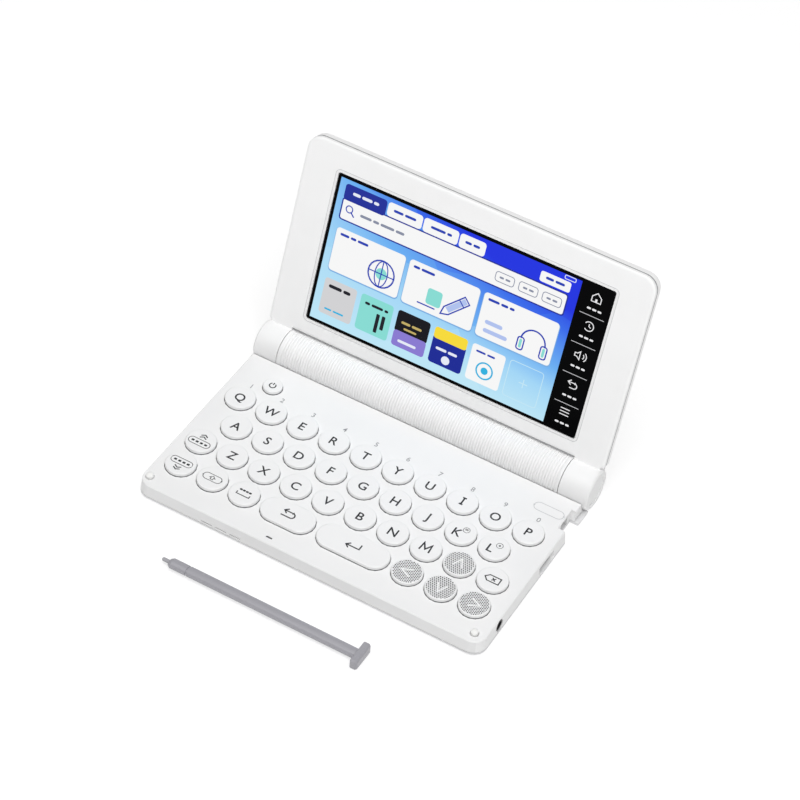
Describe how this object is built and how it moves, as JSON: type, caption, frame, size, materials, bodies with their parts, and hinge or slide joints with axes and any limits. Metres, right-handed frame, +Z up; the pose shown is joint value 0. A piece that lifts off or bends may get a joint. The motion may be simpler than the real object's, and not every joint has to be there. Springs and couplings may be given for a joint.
{
  "type": "electronic dictionary",
  "caption": "Folding handheld electronic dictionary with round keys on a thin base, a hinged lid with a wide touch display, a ribbed round hinge barrel and a loose stylus.",
  "frame": {"origin": "on the flat underside of the base, in the middle of the closed body", "axes": "+X to the right along the hinge barrel, +Y to the back, +Z up"},
  "size_m": [0.158, 0.1632, 0.1011],
  "materials": {
    "white_shell": "fine satin moulded plastic",
    "white_key": "smooth satin moulded plastic",
    "arrow_key": "satin white plastic with a fine grey print",
    "touch_glass": "polished, black printed border",
    "display": "lit display",
    "stylus_grey": "satin grey plastic",
    "white_rubber": "matt",
    "grey_rubber": "matt",
    "circuit_board": "solder mask",
    "black_plastic": "matt",
    "battery_jacket": "satin foil jacket",
    "steel": "plated"
  },
  "bodies": {
    "base": {"deck_case": "white_shell", "lower_case": "white_shell", "hinge_barrel": "white_shell", "battery_left": "battery_jacket", "battery_right": "battery_jacket", "hinge_pin_left": "steel", "hinge_pin_right": "steel", "main_board": "circuit_board", "keypad_mat": "white_rubber", "speaker": "black_plastic", "usb_socket": "steel", "headphone_jack": "black_plastic", "bumper_left": "white_rubber", "bumper_right": "white_rubber", "foot_front": "grey_rubber", "foot_rear": "grey_rubber", "stylus": "stylus_grey"},
    "lid": {"lid_front_bezel": "white_shell", "lid_back_cover": "white_shell", "touch_glass": "touch_glass", "display_panel": "display"},
    "battery_cover": {"battery_cover": "white_shell"},
    "key_q": {"key_q": "white_key"},
    "key_w": {"key_w": "white_key"},
    "key_e": {"key_e": "white_key"},
    "key_r": {"key_r": "white_key"},
    "key_t": {"key_t": "white_key"},
    "key_y": {"key_y": "white_key"},
    "key_u": {"key_u": "white_key"},
    "key_i": {"key_i": "white_key"},
    "key_o": {"key_o": "white_key"},
    "key_p": {"key_p": "white_key"},
    "key_a": {"key_a": "white_key"},
    "key_s": {"key_s": "white_key"},
    "key_d": {"key_d": "white_key"},
    "key_f": {"key_f": "white_key"},
    "key_g": {"key_g": "white_key"},
    "key_h": {"key_h": "white_key"},
    "key_j": {"key_j": "white_key"},
    "key_k": {"key_k": "white_key"},
    "key_l": {"key_l": "white_key"},
    "key_page_up": {"key_page_up": "white_key"},
    "key_z": {"key_z": "white_key"},
    "key_x": {"key_x": "white_key"},
    "key_c": {"key_c": "white_key"},
    "key_v": {"key_v": "white_key"},
    "key_b": {"key_b": "white_key"},
    "key_n": {"key_n": "white_key"},
    "key_m": {"key_m": "white_key"},
    "key_up": {"key_up": "arrow_key"},
    "key_delete": {"key_delete": "white_key"},
    "key_page_down": {"key_page_down": "white_key"},
    "key_shift": {"key_shift": "white_key"},
    "key_space": {"key_space": "white_key"},
    "key_left": {"key_left": "arrow_key"},
    "key_down": {"key_down": "arrow_key"},
    "key_right": {"key_right": "arrow_key"},
    "key_back": {"key_back": "white_key"},
    "key_enter": {"key_enter": "white_key"},
    "key_power": {"key_power": "white_key"}
  },
  "joints": [
    {"name": "lid_hinge", "type": "hinge", "parent": "base", "child": "lid", "pos_m": [0, 0.0441, 0.0085], "axis": [1, 0, 0], "range_deg": [-32.7, 107.3]},
    {"name": "battery_cover_slide", "type": "slide", "parent": "base", "child": "battery_cover", "axis": [0, 1, 0], "range_m": [0, 0.025]},
    {"name": "key_q_press", "type": "slide", "parent": "base", "child": "key_q", "axis": [0, 0, -1], "range_m": [0, 0.001], "stiffness_N_per_m": 400, "springref_m": -0.0005},
    {"name": "key_w_press", "type": "slide", "parent": "base", "child": "key_w", "axis": [0, 0, -1], "range_m": [0, 0.001], "stiffness_N_per_m": 400, "springref_m": -0.0005},
    {"name": "key_e_press", "type": "slide", "parent": "base", "child": "key_e", "axis": [0, 0, -1], "range_m": [0, 0.001], "stiffness_N_per_m": 400, "springref_m": -0.0005},
    {"name": "key_r_press", "type": "slide", "parent": "base", "child": "key_r", "axis": [0, 0, -1], "range_m": [0, 0.001], "stiffness_N_per_m": 400, "springref_m": -0.0005},
    {"name": "key_t_press", "type": "slide", "parent": "base", "child": "key_t", "axis": [0, 0, -1], "range_m": [0, 0.001], "stiffness_N_per_m": 400, "springref_m": -0.0005},
    {"name": "key_y_press", "type": "slide", "parent": "base", "child": "key_y", "axis": [0, 0, -1], "range_m": [0, 0.001], "stiffness_N_per_m": 400, "springref_m": -0.0005},
    {"name": "key_u_press", "type": "slide", "parent": "base", "child": "key_u", "axis": [0, 0, -1], "range_m": [0, 0.001], "stiffness_N_per_m": 400, "springref_m": -0.0005},
    {"name": "key_i_press", "type": "slide", "parent": "base", "child": "key_i", "axis": [0, 0, -1], "range_m": [0, 0.001], "stiffness_N_per_m": 400, "springref_m": -0.0005},
    {"name": "key_o_press", "type": "slide", "parent": "base", "child": "key_o", "axis": [0, 0, -1], "range_m": [0, 0.001], "stiffness_N_per_m": 400, "springref_m": -0.0005},
    {"name": "key_p_press", "type": "slide", "parent": "base", "child": "key_p", "axis": [0, 0, -1], "range_m": [0, 0.001], "stiffness_N_per_m": 400, "springref_m": -0.0005},
    {"name": "key_a_press", "type": "slide", "parent": "base", "child": "key_a", "axis": [0, 0, -1], "range_m": [0, 0.001], "stiffness_N_per_m": 400, "springref_m": -0.0005},
    {"name": "key_s_press", "type": "slide", "parent": "base", "child": "key_s", "axis": [0, 0, -1], "range_m": [0, 0.001], "stiffness_N_per_m": 400, "springref_m": -0.0005},
    {"name": "key_d_press", "type": "slide", "parent": "base", "child": "key_d", "axis": [0, 0, -1], "range_m": [0, 0.001], "stiffness_N_per_m": 400, "springref_m": -0.0005},
    {"name": "key_f_press", "type": "slide", "parent": "base", "child": "key_f", "axis": [0, 0, -1], "range_m": [0, 0.001], "stiffness_N_per_m": 400, "springref_m": -0.0005},
    {"name": "key_g_press", "type": "slide", "parent": "base", "child": "key_g", "axis": [0, 0, -1], "range_m": [0, 0.001], "stiffness_N_per_m": 400, "springref_m": -0.0005},
    {"name": "key_h_press", "type": "slide", "parent": "base", "child": "key_h", "axis": [0, 0, -1], "range_m": [0, 0.001], "stiffness_N_per_m": 400, "springref_m": -0.0005},
    {"name": "key_j_press", "type": "slide", "parent": "base", "child": "key_j", "axis": [0, 0, -1], "range_m": [0, 0.001], "stiffness_N_per_m": 400, "springref_m": -0.0005},
    {"name": "key_k_press", "type": "slide", "parent": "base", "child": "key_k", "axis": [0, 0, -1], "range_m": [0, 0.001], "stiffness_N_per_m": 400, "springref_m": -0.0005},
    {"name": "key_l_press", "type": "slide", "parent": "base", "child": "key_l", "axis": [0, 0, -1], "range_m": [0, 0.001], "stiffness_N_per_m": 400, "springref_m": -0.0005},
    {"name": "key_page_up_press", "type": "slide", "parent": "base", "child": "key_page_up", "axis": [0, 0, -1], "range_m": [0, 0.001], "stiffness_N_per_m": 400, "springref_m": -0.0005},
    {"name": "key_z_press", "type": "slide", "parent": "base", "child": "key_z", "axis": [0, 0, -1], "range_m": [0, 0.001], "stiffness_N_per_m": 400, "springref_m": -0.0005},
    {"name": "key_x_press", "type": "slide", "parent": "base", "child": "key_x", "axis": [0, 0, -1], "range_m": [0, 0.001], "stiffness_N_per_m": 400, "springref_m": -0.0005},
    {"name": "key_c_press", "type": "slide", "parent": "base", "child": "key_c", "axis": [0, 0, -1], "range_m": [0, 0.001], "stiffness_N_per_m": 400, "springref_m": -0.0005},
    {"name": "key_v_press", "type": "slide", "parent": "base", "child": "key_v", "axis": [0, 0, -1], "range_m": [0, 0.001], "stiffness_N_per_m": 400, "springref_m": -0.0005},
    {"name": "key_b_press", "type": "slide", "parent": "base", "child": "key_b", "axis": [0, 0, -1], "range_m": [0, 0.001], "stiffness_N_per_m": 400, "springref_m": -0.0005},
    {"name": "key_n_press", "type": "slide", "parent": "base", "child": "key_n", "axis": [0, 0, -1], "range_m": [0, 0.001], "stiffness_N_per_m": 400, "springref_m": -0.0005},
    {"name": "key_m_press", "type": "slide", "parent": "base", "child": "key_m", "axis": [0, 0, -1], "range_m": [0, 0.001], "stiffness_N_per_m": 400, "springref_m": -0.0005},
    {"name": "key_up_press", "type": "slide", "parent": "base", "child": "key_up", "axis": [0, 0, -1], "range_m": [0, 0.001], "stiffness_N_per_m": 400, "springref_m": -0.0005},
    {"name": "key_delete_press", "type": "slide", "parent": "base", "child": "key_delete", "axis": [0, 0, -1], "range_m": [0, 0.001], "stiffness_N_per_m": 400, "springref_m": -0.0005},
    {"name": "key_page_down_press", "type": "slide", "parent": "base", "child": "key_page_down", "axis": [0, 0, -1], "range_m": [0, 0.001], "stiffness_N_per_m": 400, "springref_m": -0.0005},
    {"name": "key_shift_press", "type": "slide", "parent": "base", "child": "key_shift", "axis": [0, 0, -1], "range_m": [0, 0.001], "stiffness_N_per_m": 400, "springref_m": -0.0005},
    {"name": "key_space_press", "type": "slide", "parent": "base", "child": "key_space", "axis": [0, 0, -1], "range_m": [0, 0.001], "stiffness_N_per_m": 400, "springref_m": -0.0005},
    {"name": "key_left_press", "type": "slide", "parent": "base", "child": "key_left", "axis": [0, 0, -1], "range_m": [0, 0.001], "stiffness_N_per_m": 400, "springref_m": -0.0005},
    {"name": "key_down_press", "type": "slide", "parent": "base", "child": "key_down", "axis": [0, 0, -1], "range_m": [0, 0.001], "stiffness_N_per_m": 400, "springref_m": -0.0005},
    {"name": "key_right_press", "type": "slide", "parent": "base", "child": "key_right", "axis": [0, 0, -1], "range_m": [0, 0.001], "stiffness_N_per_m": 400, "springref_m": -0.0005},
    {"name": "key_back_press", "type": "slide", "parent": "base", "child": "key_back", "axis": [0, 0, -1], "range_m": [0, 0.001], "stiffness_N_per_m": 400, "springref_m": -0.0005},
    {"name": "key_enter_press", "type": "slide", "parent": "base", "child": "key_enter", "axis": [0, 0, -1], "range_m": [0, 0.001], "stiffness_N_per_m": 400, "springref_m": -0.0005},
    {"name": "key_power_press", "type": "slide", "parent": "base", "child": "key_power", "axis": [0, 0, -1], "range_m": [0, 0.001], "stiffness_N_per_m": 400, "springref_m": -0.0005}
  ]
}
